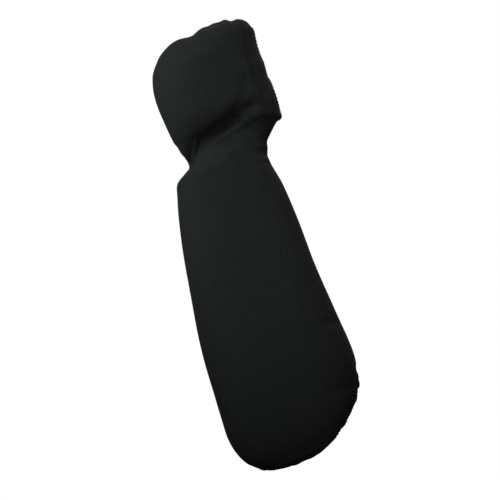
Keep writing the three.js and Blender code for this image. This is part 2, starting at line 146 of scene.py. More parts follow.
# Finer creases as seen square on, in millimetres: the face, depth, spread and the line's x and z,
# or x and y on the top. A depth below 0 stands up as a ridge.
CREASES = [
    ("front", 2.2, 5.0, [(-40, 274), (-26, 283), (-11, 292), (8, 304), (28, 318), (40, 332), (47, 350)]),
    ("front", 1.5, 5.5, [(2, 293), (16, 302), (31, 315), (40, 328), (46, 344)]),
    ("front", 2.0, 3.2, [(-10, 287), (10, 293), (26, 296), (40, 301)]),
    ("front", -1.2, 2.6, [(-36, 275), (-26, 278), (-9, 281), (6, 287), (20, 286), (34, 278)]),
    ("front", -1.3, 1.6, [(-28, 279), (-26, 283), (-20, 293), (-14, 304)]),
    ("front", -1.1, 1.5, [(-23, 281), (-18, 288), (-10, 297), (-3, 306)]),
    ("front", -1.7, 1.8, [(25, 312), (31, 305), (39, 293), (45, 279)]),
    ("front", -1.1, 1.6, [(38, 309), (44, 302), (50, 291)]),
    ("front", 1.8, 1.9, [(18, 290), (31, 286), (42, 281), (50, 278)]),
    ("front", 1.8, 1.9, [(8, 277), (26, 273), (39, 269), (46, 266)]),
    ("front", -0.7, 1.8, [(12, 283), (28, 279), (44, 273)]),
    ("front", 0.9, 2.0, [(28, 266), (40, 262), (50, 258)]),
    ("front", -0.6, 2.2, [(52, 356), (53, 340), (50, 324)]),
    ("front", 0.6, 3.6, [(-44, 256), (-30, 262), (-14, 265), (4, 264)]),
    ("front", 0.5, 2.6, [(18, 117), (28, 115), (42, 112), (55, 108)]),
    ("front", -0.35, 2.5, [(20, 123), (32, 121), (46, 118)]),
    ("front", 0.5, 2.8, [(14, 55), (28, 53), (40, 51), (50, 48)]),
    ("front", -0.3, 2.6, [(18, 61), (34, 59), (48, 56)]),
    ("top", 3.0, 8.0, [(6, -36), (6, -10), (6, 18)]),
    ("top", 1.6, 3.4, [(46, -36), (46, -10), (45, 18)]),
    ("top", 1.0, 5.0, [(27, -36), (27, -10), (27, 18)]),
    ("back", 1.4, 3.0, [(-34, 262), (-6, 268), (20, 270), (44, 264)]),
    ("back", 1.2, 2.6, [(-30, 276), (-4, 278), (22, 281), (46, 276)]),
    ("back", 1.3, 2.8, [(-32, 292), (-8, 288), (18, 290), (40, 297)]),
    ("back", 1.0, 2.6, [(-30, 305), (-6, 298), (16, 300), (34, 309)]),
    ("back", 0.9, 2.4, [(-26, 322), (-6, 312), (14, 310)]),
    ("back", 1.4, 5.0, [(-20, 92), (8, 98), (36, 94), (60, 84)]),
    ("back", 1.6, 5.0, [(-8, 74), (20, 80), (44, 78), (64, 70)]),
    ("back", 1.2, 4.5, [(-30, 118), (-2, 124), (30, 120), (58, 112)]),
    ("back", 0.9, 4.0, [(-16, 146), (12, 150), (40, 146)]),
]

# A crease less spread than a wide one heaps up the cloth beside it, by this share of its depth and
# this many spreads away
HEAP = 0.55
HEAP_AWAY = 1.7
WIDE_CREASE = 5.0

# The elbow rim's pleats and how far up they fade, and the whole cloth's slow unevenness
GATHER_DEPTH = 1.1 * MM
GATHER_FADE = 15 * MM
SLACK_DEPTH = 0.22 * MM

# The forearm's details run on into the hand over this height, and stop short of the knuckles' top
WRIST_BLEND = 9 * MM
TOP_FADE = 0.05
LAST_ROW = 0.995

# Openings in the hand: middle angle, middle height share, half angle, half height, lean, squareness
FINGER_OPENING = (78.0, 0.645, 80.0, 0.19, 0.11, 2.6)
THUMB_OPENING = (22.0, 0.315, 28.0, 0.155, 0.0, 2.2)

# Pads: from angle, to angle, and from and to as shares of the way up the cloth
FOREARM_PAD = (170.0, 360.0, 0.03, 0.93)
HAND_PAD = (180.0, 330.0, 0.14, 0.84)
PAD_BEVEL = 0.16
PAD_ROUNDING = 0.8 * MM
PAD_ROUNDED_SHARE = 0.025
PAD_STEP = 0.6 * MM
PAD_STEP_SPREAD = 5 * MM

# A rough radius and way up of the cloth over each pad
FOREARM_REACH = (56 * MM, 270 * MM)
HAND_REACH = (46 * MM, 130 * MM)

# How finely the pieces are meshed
AROUND = 196
FOREARM_ROWS = 138
HAND_ROWS = 94
FOREARM_PAD_CELLS = (90, 110)
HAND_PAD_CELLS = (64, 64)
BAND_AROUND = 480
FINGER_BAND_AROUND = 260
THUMB_BAND_AROUND = 120
SECTION_POINTS = 22
FINE_SHARES = np.linspace(0, 1, 400)

# The knit: wales run up the cloth in a fixed count, counted from the palm side's seam, and courses
# cross them. A pad's knit has so many wales a degree and so many courses a row.
WALES = 310
COURSE = 0.95 * MM
WALE = 1.1 * MM
PAD_KNIT = (0.78, 2.2)
SEAM_ANGLE = 90.0


def rows_at(rows, place):
    """Smooth curve through the rows of a table, at places counted in rows."""
    last = len(rows) - 1
    first = np.clip(np.floor(place).astype(int), 0, last - 1)
    t = (place - first)[..., None]
    a = rows[np.maximum(first - 1, 0)]
    b = rows[first]
    c = rows[first + 1]
    d = rows[np.minimum(first + 2, last)]
    slope_b = (c - a) / 2
    slope_c = (d - b) / 2
    cubic = 2 * b - 2 * c + slope_b + slope_c
    square = 3 * c - 3 * b - 2 * slope_b - slope_c
    return ((cubic * t + square) * t + slope_b) * t + b


def place_at(rows, share):
    """The place in a table where its column along reaches a share."""
    places = np.linspace(0, len(rows) - 1, 2001)
    reached = np.maximum.accumulate(rows_at(rows, places)[:, ALONG])
    return np.interp(share, reached, places)


def fold_depth(angle, height, radius):
    """How deep the main folds press the cloth in."""
    whole = FOREARM_LENGTH + HAND_LENGTH
    depth = np.zeros_like(height)
    for from_angle, from_height, to_angle, to_height, deep, spread in FOLDS:
        across = np.radians((angle - from_angle + 180) % 360 - 180) * radius
        up = height - from_height * whole
        run_across = np.radians(to_angle - from_angle) * radius
        run_up = (to_height - from_height) * whole
        along = (across * run_across + up * run_up) / (run_across**2 + run_up**2)
        held = np.clip(along, 0, 1)
        away = np.hypot(across - held * run_across, up - held * run_up)
        depth += deep * WRIST_DEPTH * np.exp(-((away / (spread * WRIST_DEPTH)) ** 2))
    return depth


def face_point(width, depth, row, angle, height, tuck):
    """Points of the cloth's outer face from section rows, angles and heights."""
    swollen_width = WRIST_WIDTH + (width - WRIST_WIDTH) * row[..., SWELL]
    swollen_depth = WRIST_DEPTH + (depth - WRIST_DEPTH) * row[..., SWELL]
    half_width = swollen_width * row[..., WIDE] / 2
    half_depth = swollen_depth * row[..., DEEP] / 2
    cos = np.cos(np.radians(angle))
    sin = np.sin(np.radians(angle))
    power = 2 / (BACK_SQUARENESS + (FRONT_SQUARENESS - BACK_SQUARENESS) * (1 - sin) / 2)
    near = np.exp(-(((height - FOREARM_LENGTH) / WRIST_ARCH_FADE) ** 2))
    lifted = height + WRIST_ARCH * np.maximum(0, -sin) ** 2 * near
    radius = np.maximum(np.hypot(half_width * cos, half_depth * sin), 1e-6)
    pressed = fold_depth(angle, lifted, (half_width + half_depth) / 2) / radius
    kept = (1 - tuck) * (1 - np.minimum(pressed, 0.5))
    x = swollen_width * row[..., ASIDE] + np.sign(cos) * np.abs(cos) ** power * half_width * kept
    y = swollen_depth * row[..., BEHIND] + np.sign(sin) * np.abs(sin) ** power * half_depth * kept
    return np.stack([x, y, lifted], axis=-1)


def rim_height(angle):
    """The elbow rim's height, highest on its crook's side and lowest across from there."""
    toward_crook = np.cos(np.radians(angle - CROOK_ANGLE))
    ramp = np.maximum(0, (toward_crook - RIM_RAMP_START) / (1 - RIM_RAMP_START))
    return RIM_RISE * ramp**RIM_RAMP_POWER


def tuck_at(angle):
    """How far the cloth turns in at the elbow rim."""
    cos = np.cos(np.radians(angle))
    sin = np.sin(np.radians(angle))
    side = np.where(cos > 0, TUCK["right"], TUCK["left"])
    face = np.where(sin > 0, TUCK["back"], TUCK["front"])
    return side * cos**2 + face * sin**2


def forearm_face(angle, share):
    """The forearm's outer face: share runs from the elbow rim, 0, to the wrist, 1."""
    rim = rim_height(angle)
    turn = np.minimum(share / ROLL_SHARE, 1) * np.pi / 2
    straight = np.maximum(share - ROLL_SHARE, 0) / (1 - ROLL_SHARE)
    climb = ROLL_HEIGHT * (1 - np.cos(turn)) + (FOREARM_LENGTH - rim - ROLL_HEIGHT) * straight
    height = rim + climb
    row = rows_at(FOREARM_SECTIONS, place_at(FOREARM_SECTIONS, height / FOREARM_LENGTH))
    tuck = tuck_at(angle) * (1 - np.sin(turn))
    return face_point(ELBOW_WIDTH, ELBOW_DEPTH, row, angle, height, tuck)


def hand_face(angle, share):
    """The hand's outer face: share runs from the wrist, 0, to the top of the knuckles, 1."""
    row = rows_at(HAND_SECTIONS, share * (len(HAND_SECTIONS) - 1))
    height = FOREARM_LENGTH + HAND_LENGTH * row[..., ALONG]
    return face_point(HAND_WIDTH, HAND_DEPTH, row, angle, height, np.zeros_like(height))


def hand_share_at(height_share):
    return place_at(HAND_SECTIONS, height_share) / (len(HAND_SECTIONS) - 1)


def hand_height_share(share):
    return rows_at(HAND_SECTIONS, share * (len(HAND_SECTIONS) - 1))[..., ALONG]


def normals_of(face, angle, share):
    """Outward normals of a face function."""
    turn, step = 1.0, 0.004
    level = np.minimum(share, 0.995)
    around = face(angle + turn, level) - face(angle - turn, level)
    up = face(angle, np.minimum(share + step, 0.9999)) - face(angle, np.maximum(share - step, 0))
    normal = np.cross(around, up)
    return normal / np.linalg.norm(normal, axis=-1, keepdims=True)


def way_up(face, angles):
    """The length of the way up a face at each angle, reached at each of the fine shares."""
    grid = face(angles[:, None] + 0 * FINE_SHARES, FINE_SHARES + 0 * angles[:, None])
    steps = np.linalg.norm(np.diff(grid, axis=1), axis=-1)
    return np.concatenate([np.zeros((len(angles), 1)), np.cumsum(steps, axis=1)], axis=1)


def shares_at(face, angles, distances):
    """Shares of a face's parameter at distances up it, a row of them for each angle."""
    ways = way_up(face, angles)
    return np.stack([np.interp(far, way, FINE_SHARES) for far, way in zip(distances, ways)])


def smooth(value):
    held = np.clip(value, 0, 1)
    return held * held * (3 - 2 * held)


def crease_lift(x, z, line, depth, spread):
    """The lift of a crease along a line, with the cloth heaped beside it and the ends run out."""
    turns = np.linspace(0, len(line) - 1, 5 * len(line) - 4)
    corners = rows_at(np.array(line, dtype=float), turns) * MM
    lengths = np.linalg.norm(np.diff(corners, axis=0), axis=1)
    nearest = np.full(x.shape, np.inf)
    signed = np.zeros_like(x)
    reached = np.zeros_like(x)
    before = 0.0
    for (from_x, from_z), (to_x, to_z), length in zip(corners, corners[1:], lengths):
        run_x, run_z = (to_x - from_x) / length, (to_z - from_z) / length
        along = np.clip((x - from_x) * run_x + (z - from_z) * run_z, 0, length)
        off_x, off_z = x - from_x - along * run_x, z - from_z - along * run_z
        away = np.hypot(off_x, off_z)
        closer = away < nearest
        nearest = np.where(closer, away, nearest)
        signed = np.where(closer, away * np.sign(run_x * off_z - run_z * off_x), signed)
        reached = np.where(closer, before + along, reached)
        before += length
    fade = np.sin(np.pi * np.clip(reached / before, 0, 1))
    place = signed / (spread * MM)
    heap = HEAP if spread < WIDE_CREASE else 0
    shape = heap * np.exp(-((place - HEAP_AWAY) ** 2)) - np.exp(-(place**2))
    return depth * MM * fade * shape


# Pleats: how many go round, and how deep each kind is against the others
WAVES = [(19, 0.9), (27, 0.8), (34, 0.55), (45, 0.35)]
WAVE_PHASES = random.uniform(0, 2 * np.pi, len(WAVES))


def gather_wave(angle):
    """Uneven pleats round the elbow opening, deepest on its crook's side."""
    turn = np.radians(angle)
    wave = sum(size * np.sin(count * turn + phase) for (count, size), phase in zip(WAVES, WAVE_PHASES))
    crook = np.maximum(0, np.cos(turn - np.radians(CROOK_ANGLE)))
    return wave / 2 * (0.3 + 0.7 * crook)


SLACK_PHASES = random.uniform(0, 2 * np.pi, (8, 2))


def slack(angle, height):
    """Slow unevenness of the whole cloth."""
    turn = np.radians(angle)
    total = np.zeros_like(height)
    for i, (phase, shift) in enumerate(SLACK_PHASES):
        count = 1 + i % 4
        length = (150 - 14 * i) * MM
        total += np.sin(count * turn + phase) * np.sin(2 * np.pi * height / length + shift) / (1 + i / 2)
    return total * SLACK_DEPTH


def pad_step(angle, way_share, pad, radius, length):
    """The step in the cloth where a pad under it ends."""
    from_angle, to_angle, start, end = pad
    beside = np.radians(np.minimum(angle % 360 - from_angle, to_angle - angle % 360)) * radius
    above = np.minimum(way_share - start, end - way_share) * length
    inside = smooth(np.minimum(beside, above) / PAD_STEP_SPREAD + 0.5)
    return PAD_STEP * (inside - 1)


def soft_lift(point, normal, angle, way_share, from_rim, pad):
    """How far the soft details lift the cloth from its plain shape."""
    x, y, z = point[..., 0], point[..., 1], point[..., 2]
    sides = {
        "front": (z, smooth((0.1 - normal[..., 1]) / 0.6)),
        "back": (z, smooth((normal[..., 1] + 0.1) / 0.6)),
        "top": (y, smooth((normal[..., 2] - 0.15) / 0.5) * (z > FOREARM_LENGTH + HAND_LENGTH / 2)),
    }
    lift = slack(angle, z)
    for side, depth, spread, line in CREASES:
        up, mask = sides[side]
        lift += mask * crease_lift(x, up, line, depth, spread)
    lift += GATHER_DEPTH * gather_wave(angle) * np.exp(-from_rim / GATHER_FADE)
    radius, length = FOREARM_REACH if pad is FOREARM_PAD else HAND_REACH
    return lift + pad_step(angle, way_share, pad, radius, length)


def forearm_cloth(angles, distances):
    """Points, normals and lift of the forearm's cloth at distances up from the elbow rim."""
    share = shares_at(forearm_face, angles, distances)
    angle = np.repeat(angles[:, None], distances.shape[1], axis=1)
    point = forearm_face(angle, share)
    normal = normals_of(forearm_face, angle, share)
    length = way_up(forearm_face, angles)[:, -1:]
    start = ELBOW_HEM_WIDTH
    way_share = (distances - start) / (length - start)
    lift = soft_lift(point, normal, angle, way_share, distances, FOREARM_PAD)
    return point, normal, lift


def hand_cloth(angle, share, way_share):
    """Points, normals and lift of the hand's cloth."""
    point = hand_face(angle, share)
    normal = normals_of(hand_face, angle, share)
    beyond_pleats = np.full(share.shape, 1.0)
    lift = soft_lift(point, normal, angle, way_share, beyond_pleats, HAND_PAD)
    return point, normal, lift * smooth((1 - way_share) / TOP_FADE)


def opening_value(opening, angle, height_share):
    """Below 1 inside an opening and 1 on its edge, with the place counted in its half sizes."""
    middle, height, half_angle, half_height, lean, squareness = opening
    sideways = -((angle - middle + 180) % 360 - 180) / half_angle
    upward = (height_share - height - lean * sideways) / half_height
    return np.abs(sideways) ** squareness + np.abs(upward) ** squareness, sideways, upward


def snap_to_opening(opening, angle, height_share, edge):
    """Moves grid points from just inside an opening out to its edge."""
    middle, height, half_angle, half_height, lean, squareness = opening
    value, sideways, upward = opening_value(opening, angle, height_share)
    grow = np.maximum(value, 1e-6) ** (-1 / squareness)
    snapped_angle = middle - half_angle * sideways * grow
    snapped_share = height + lean * sideways * grow + half_height * upward * grow
    moved = (snapped_angle - angle + 180) % 360 - 180
    return np.where(edge, angle + moved, angle), np.where(edge, snapped_share, height_share)


def widened(opening, margin):
    """An opening grown all round by a distance."""
    middle, height, half_angle, half_height, lean, squareness = opening
    more_angle = np.degrees(margin / (HAND_WIDTH / 2))
    return middle, height, half_angle + more_angle, half_height + margin / HAND_LENGTH, lean, squareness


def touching(cells):
    """Grid points that touch any of the cells."""
    points = np.zeros((cells.shape[0], cells.shape[1] + 1), dtype=bool)
    for near in (cells, np.roll(cells, 1, axis=0)):
        points[:, :-1] |= near
        points[:, 1:] |= near
    return points


def hand_grid(angles, shares):
    """The hand's grid of angles and shares, fitted to the openings, and the cells they take away."""
    angle = np.repeat(angles[:, None], shares.shape[1], axis=1)
    height_share = hand_height_share(shares)
    gone = np.zeros((len(angles), shares.shape[1] - 1), dtype=bool)
    for plain in (FINGER_OPENING, THUMB_OPENING):
        opening = widened(plain, HEM_TUCK)
        inside = opening_value(opening, angle, height_share)[0] < 1
        beside = np.roll(inside, -1, axis=0)
        cells = inside[:, :-1] & inside[:, 1:] & beside[:, :-1] & beside[:, 1:]
        gone |= cells
        edge = inside & touching(~cells)
        angle, height_share = snap_to_opening(opening, angle, height_share, edge)
    return angle, hand_share_at(height_share), gone


def mesh_object(name, points, faces, knit=None, period=None):
    """A smooth mesh, with its knit coordinates as a map that wraps round without a break."""
    used, flat = np.unique(np.concatenate([np.ravel(face) for face in faces]), return_inverse=True)
    pieces = np.split(flat, np.cumsum([np.size(face) for face in faces])[:-1])
    lists = [piece.reshape(np.shape(face)).tolist() for piece, face in zip(pieces, faces)]
    points = np.asarray(points)[used]
    mesh = bpy.data.meshes.new(name)
    mesh.from_pydata(points.tolist(), [], [face for group in lists for face in group])
    mesh.polygons.foreach_set("use_smooth", np.ones(len(mesh.polygons), dtype=bool))
    if knit is not None:
        corners = np.zeros(len(mesh.loops), dtype=np.int32)
        starts = np.zeros(len(mesh.polygons), dtype=np.int32)
        mesh.loops.foreach_get("vertex_index", corners)
        mesh.polygons.foreach_get("loop_start", starts)
        counts = np.diff(np.append(starts, len(corners)))
        place = np.asarray(knit)[used][corners].copy()
        if period:
            highest = np.repeat(np.maximum.reduceat(place[:, 0], starts), counts)
            place[:, 0] += np.where(highest - place[:, 0] > period / 2, period, 0)
        layer = mesh.uv_layers.new(name="knit")
        layer.data.foreach_set("uv", place.astype(np.float32).ravel())
    mesh.update()
    obj = bpy.data.objects.new(name, mesh)
    bpy.context.scene.collection.objects.link(obj)
    return obj


def grid_quads(across, up, wrap):
    index = np.arange(across * up).reshape(across, up)
    beside = np.roll(index, -1, axis=0)
    quads = np.stack([index[:, :-1], beside[:, :-1], beside[:, 1:], index[:, 1:]], axis=-1)
    return quads if wrap else quads[:-1]


def rim_quads(quads, count, closed=()):
    """Quads that join an outer and an inner face along every open edge outside a closed row."""
    edges = {}
    for face in quads.reshape(-1, 4).tolist():
        for a, b in zip(face, face[1:] + face[:1]):
            if (b, a) in edges:
                del edges[(b, a)]
            else:
                edges[(a, b)] = True
    held = set(closed)
    open_edges = [(a, b) for a, b in edges if not (a in held and b in held)]
    return np.array([[b, a, a + count, b + count] for a, b in open_edges])


def finish_piece(obj, slot, *replaced):
    if replaced:
        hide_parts(*replaced)
    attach(obj, "root")
    return obj


def share_round(points):
    """The share of the way round at each point of closed rows, by length."""
    ahead = np.linalg.norm(np.roll(points, -1, axis=0) - points, axis=-1)
    way = np.cumsum(ahead, axis=0)
    return (way - ahead) / way[-1]


def even_angles():
    """Angles from the seam all the way round, evenly spaced on the cloth."""
    fine = SEAM_ANGLE + np.arange(720) / 2
    shares = share_round(forearm_face(fine[:, None], np.full((720, 1), 0.6)))[:, 0]
    return np.interp(np.arange(AROUND) / AROUND, np.append(shares, 1), np.append(fine, fine[0] + 360))


def wale_counts(plain, angles, angle):
    """Wales counted from the seam at each angle, evenly spaced along every plain row."""
    shares = share_round(plain)
    closed = np.concatenate([shares, np.ones((1, shares.shape[1]))])
    turns = np.append(angles, angles[0] + 360)
    rows = [np.interp(angle[:, row], turns, closed[:, row]) for row in range(shares.shape[1])]
    return WALES * np.stack(rows, axis=1)


def build_cloth():
    """The one continuous knit cloth from the elbow hem to the knuckles, with both its faces."""
    angles = even_angles()
    low_length = way_up(forearm_face, angles)[:, -1:]
    start = ELBOW_HEM_WIDTH - HEM_TUCK
    low_far = start + (low_length - start) * np.linspace(0, 1, FOREARM_ROWS + 1)
    point_low, normal_low, lift_low = forearm_cloth(angles, low_far)
    high_length = way_up(hand_face, angles)[:, -1:]
    way_share = np.repeat(np.linspace(0, LAST_ROW, HAND_ROWS + 1)[None], AROUND, axis=0)
    high_far = high_length * way_share
    plain_share = shares_at(hand_face, angles, high_far)
    angle, share, gone = hand_grid(angles, plain_share)
    point_high, normal_high, lift_high = hand_cloth(angle, share, way_share)
    lift_high = blend_seam(lift_low[:, -1:], lift_high, high_far)

    outer = np.concatenate(
        [
            (point_low + normal_low * lift_low[..., None])[:, :-1],
            point_high + normal_high * lift_high[..., None],
        ],
        axis=1,
    )
    normal = np.concatenate([normal_low[:, :-1], normal_high], axis=1)
    outer, normal = ease_seam(outer, normal, FOREARM_ROWS)
    inner = outer - normal * CLOTH
    rows = outer.shape[1]
    count = AROUND * rows
    up = np.concatenate([low_far[:, :-1], low_length + high_far], axis=1) / COURSE
    plain_high = hand_face(angles[:, None] + 0 * plain_share, plain_share)
    plain = np.concatenate([point_low[:, :-1], plain_high], axis=1)
    turned = np.concatenate([np.repeat(angles[:, None], FOREARM_ROWS, axis=1), angle], axis=1)
    knit = np.stack([wale_counts(plain, angles, turned), up], axis=-1).reshape(-1, 2)

    keep = np.concatenate([np.ones((AROUND, FOREARM_ROWS), dtype=bool), ~gone], axis=1)
    quads = grid_quads(AROUND, rows, True)[keep]
    top = np.arange(count).reshape(AROUND, rows)[:, -1]
    beside = np.roll(top, -1)
    tips = [outer[:, -1].mean(axis=0), inner[:, -1].mean(axis=0)]
    points = np.concatenate([outer.reshape(-1, 3), inner.reshape(-1, 3), tips])
    first = np.full(AROUND, 2 * count)
    caps = [np.stack([top, beside, first], axis=-1)]
    caps.append(np.stack([beside + count, top + count, first + 1], axis=-1))
    faces = [quads, quads[:, ::-1] + count, rim_quads(quads, count, top.tolist()), *caps]
    knit = np.concatenate([knit, knit, knit[top[:1]], knit[top[:1]]])
    obj = mesh_object("knit_cloth", points, faces, knit, WALES)
    return finish_piece(obj, "knit_cloth", "forearm_sleeve", "hand_mitt")


def blend_seam(below, lift, far):
    """Carries the forearm's lift at the wrist into the hand's."""
    near = np.exp(-((far / WRIST_BLEND) ** 2))
    return lift + (below - lift[:, :1]) * near


def ease_seam(outer, normal, middle):
    """Softens the turn of the cloth where the forearm passes into the hand."""
    rows = slice(middle - 2, middle + 3)
    for _ in range(2):
        eased = outer.copy()
        eased[:, 1:-1] = (outer[:, :-2] + 2 * outer[:, 1:-1] + outer[:, 2:]) / 4
        outer[:, rows] = eased[:, rows]
        eased = normal.copy()
        eased[:, 1:-1] = (normal[:, :-2] + 2 * normal[:, 1:-1] + normal[:, 2:]) / 4
        eased /= np.linalg.norm(eased, axis=-1, keepdims=True)
        normal[:, rows] = eased[:, rows]
    return outer, normal


def build_pad(name, node, pad, thickness, cells, cloth_at):
    """A foam pad close under the cloth, full in the middle and thin along its rounded border."""
    from_angle, to_angle, start, end = pad
    across, up = cells
    angles = np.linspace(from_angle, to_angle, across + 1)
    way_share = np.repeat(np.linspace(start, end, up + 1)[None], across + 1, axis=0)
    point, normal, lift = cloth_at(angles, way_share)
    side = np.linspace(0, 1, across + 1)[:, None]
    reached = np.linspace(0, 1, up + 1)[None]
    edge = np.minimum(np.minimum(side, 1 - side), np.minimum(reached, 1 - reached))
    full = np.sin(np.minimum(edge / PAD_BEVEL, 1) * np.pi / 2)
    rounding = PAD_ROUNDING * np.maximum(0, 1 - edge / PAD_ROUNDED_SHARE) ** 2
    outer = point + normal * (lift - CLOTH - GAP - rounding)[..., None]
    thick = PAD_EDGE_THICKNESS - 2 * rounding + (thickness - PAD_EDGE_THICKNESS) * full
    inner = outer - normal * thick[..., None]
    count = (across + 1) * (up + 1)
    quads = grid_quads(across + 1, up + 1, False).reshape(-1, 4)
    faces = [quads, quads[:, ::-1] + count, rim_quads(quads, count)]
    place = np.stack(np.broadcast_arrays(side * (to_angle - from_angle), reached * up), axis=-1)
    place = (place * PAD_KNIT).reshape(-1, 2)
    knit = np.concatenate([place, place])
    points = np.concatenate([outer.reshape(-1, 3), inner.reshape(-1, 3)])
    obj = mesh_object(name, points, faces, knit)
    return finish_piece(obj, "pad_cover", node)


def forearm_pad_cloth(angles, way_share):
    length = way_up(forearm_face, angles)[:, -1:]
    start = ELBOW_HEM_WIDTH
    return forearm_cloth(angles, start + (length - start) * way_share)


def hand_pad_cloth(angles, way_share):
    length = way_up(hand_face, angles)[:, -1:]
    share = shares_at(hand_face, angles, length * way_share)
    angle = np.repeat(angles[:, None], way_share.shape[1], axis=1)
    point, normal, lift = hand_cloth(angle, share, way_share)
    below = forearm_cloth(angles, way_up(forearm_face, angles)[:, -1:])[2]
    at_wrist = hand_cloth(angle[:, :1], share[:, :1] * 0, way_share[:, :1] * 0)[2]
    near = np.exp(-((length * way_share / WRIST_BLEND) ** 2))
    return point, normal, lift + (below - at_wrist) * near


def rounded_section(width, low, high, corner):
    """Points round a band's section: distances across it and heights over the cloth."""
    turn = 2 * np.pi * np.arange(SECTION_POINTS) / SECTION_POINTS
    cos, sin = np.cos(turn), np.sin(turn)
    across = width / 2 * (1 + np.sign(cos) * np.abs(cos) ** corner)
    over = (low + high) / 2 + (high - low) / 2 * np.sign(sin) * np.abs(sin) ** corner
    return across, over


def ring_object(name, sections, slot, *replaced):
    """A closed band from its sections all the way round, with its faces turned out."""
    around, count = sections.shape[:2]
    index = np.arange(around * count).reshape(around, count)
    beside = np.roll(index, -1, axis=0)
    over = np.roll(index, -1, axis=1)
    corner = np.roll(beside, -1, axis=1)
    quads = np.stack([index, beside, corner, over], axis=-1).reshape(-1, 4)
    points = sections.reshape(-1, 3)
    a, b, c = points[quads[:, 0]], points[quads[:, 1]], points[quads[:, 2]]
    if np.sum(a * np.cross(b, c)) < 0:
        quads = quads[:, ::-1]
    ahead = np.linalg.norm(sections - np.roll(sections, -1, axis=0), axis=-1).mean(axis=1)
    period = np.round(ahead.sum() / WALE)
    wales = np.repeat((np.cumsum(ahead) / ahead.sum() * period)[:, None], count, axis=1)
    steps = np.linalg.norm(sections - np.roll(sections, 1, axis=1), axis=-1)
    knit = np.stack([wales, np.cumsum(steps, axis=1) / COURSE], axis=-1).reshape(-1, 2)
    return finish_piece(mesh_object(name, points, [quads], knit, period), slot, *replaced)


# The elbow hem's rows of stitches, the dent that they draw in, and how far the hem swells beside them
STITCH_ROWS = (3.2 * MM, 9.0 * MM)
STITCH_DENT = 0.45 * MM
STITCH_DENT_WIDTH = 1.1 * MM
HEM_SWELL = 0.2 * MM

# The hand's hems: their row of stitches, and puckers of so many points each
OPENING_STITCH_ROW = 2.6 * MM
PUCKER_DEPTH = 0.1 * MM
PUCKER_POINTS = 9


def build_elbow_band():
    """The gathered hem round the elbow opening, dented along its rows of stitches."""
    angles = 360 * np.arange(BAND_AROUND) / BAND_AROUND
    low = HEM_STANDS_PROUD - HEM_THICKNESS
    across, over = rounded_section(ELBOW_HEM_WIDTH, low, HEM_STANDS_PROUD, 0.45)
    far = np.repeat(across[None], BAND_AROUND, axis=0)
    point, normal, lift = forearm_cloth(angles, far)
    dent = sum(np.exp(-(((across - row) / STITCH_DENT_WIDTH) ** 2)) for row in STITCH_ROWS)
    outside = over > (low + HEM_STANDS_PROUD) / 2
    height = over[None] + np.where(outside, HEM_SWELL - STITCH_DENT * dent, 0)[None]
    sections = point + normal * (lift + height)[..., None]
    return ring_object("elbow_band", sections, "hem_cloth", "elbow_hem")


def opening_edge(opening, turn):
    """Points, cloth normals and outward ways along an opening's edge."""
    middle, height, half_angle, half_height, lean, squareness = opening
    cos, sin = np.cos(turn), np.sin(turn)
    sideways = np.sign(cos) * np.abs(cos) ** (2 / squareness)
    upward = np.sign(sin) * np.abs(sin) ** (2 / squareness)
    angle = middle - half_angle * sideways
    share = hand_share_at(height + lean * sideways + half_height * upward)
    point, normal, lift = hand_cloth(angle, share, share * 0 + 0.5)
    point = point + normal * lift[..., None]
    along = np.roll(point, -1, axis=0) - np.roll(point, 1, axis=0)
    outward = np.cross(along, normal)
    outward /= np.linalg.norm(outward, axis=-1, keepdims=True)
    centre = point.mean(axis=0)
    flip = np.sign(np.sum(outward * (point - centre)))
    return point, normal, outward * flip


def build_opening_band(name, node, opening, steps):
    """The doubled cloth round an opening in the hand."""
    point, normal, outward = opening_edge(opening, 2 * np.pi * np.arange(steps) / steps)
    low = HEM_STANDS_PROUD - HEM_THICKNESS
    across, over = rounded_section(OPENING_HEM_WIDTH, low, HEM_STANDS_PROUD, 0.6)
    puckers = PUCKER_DEPTH * np.sin(np.arange(steps) * 2 * np.pi * (steps // PUCKER_POINTS) / steps)
    height = over[None] + np.where(over > 0, 1, 0)[None] * puckers[:, None]
    sections = point[:, None] + outward[:, None] * across[None, :, None]
    sections = sections + normal[:, None] * height[..., None]
    return ring_object(name, sections, "hem_cloth", node)


# Threads: a radius, and how finely each is meshed
THREAD_RADIUS = 0.28 * MM
THREAD_SIDES = 6
THREAD_RINGS = 5


def thread_object(name, starts, ends, normals):
    """Short threads that rise out of the cloth and dip back into it."""
    share = np.linspace(0, 1, THREAD_RINGS)
    along = ends - starts
    along_unit = along / np.linalg.norm(along, axis=-1, keepdims=True)
    aside = np.cross(along_unit, normals)
    rise = THREAD_RADIUS * (1.6 * np.sin(np.pi * share) - 0.5)
    middle = starts[:, None] + along[:, None] * share[None, :, None]
    middle = middle + normals[:, None] * rise[None, :, None]
    turn = 2 * np.pi * np.arange(THREAD_SIDES) / THREAD_SIDES
    width = THREAD_RADIUS * (0.55 + 0.45 * np.sin(np.pi * share))
    cos = np.cos(turn)[None, None, :, None] * width[None, :, None, None]
    sin = np.sin(turn)[None, None, :, None] * width[None, :, None, None]
    rings = middle[:, :, None] + aside[:, None, None] * cos + normals[:, None, None] * sin
    count = len(starts)
    index = np.arange(count * THREAD_RINGS * THREAD_SIDES)
    index = index.reshape(count, THREAD_RINGS, THREAD_SIDES)
    beside = np.roll(index, -1, axis=2)
    sides = np.stack([index[:, :-1], index[:, 1:], beside[:, 1:], beside[:, :-1]], axis=-1)
    faces = [sides.reshape(-1, 4), index[:, 0], index[:, -1, ::-1]]
    return mesh_object(name, rings.reshape(-1, 3), faces)


STITCH_LENGTH = 2.6 * MM
STITCH_PITCH = 3.4 * MM


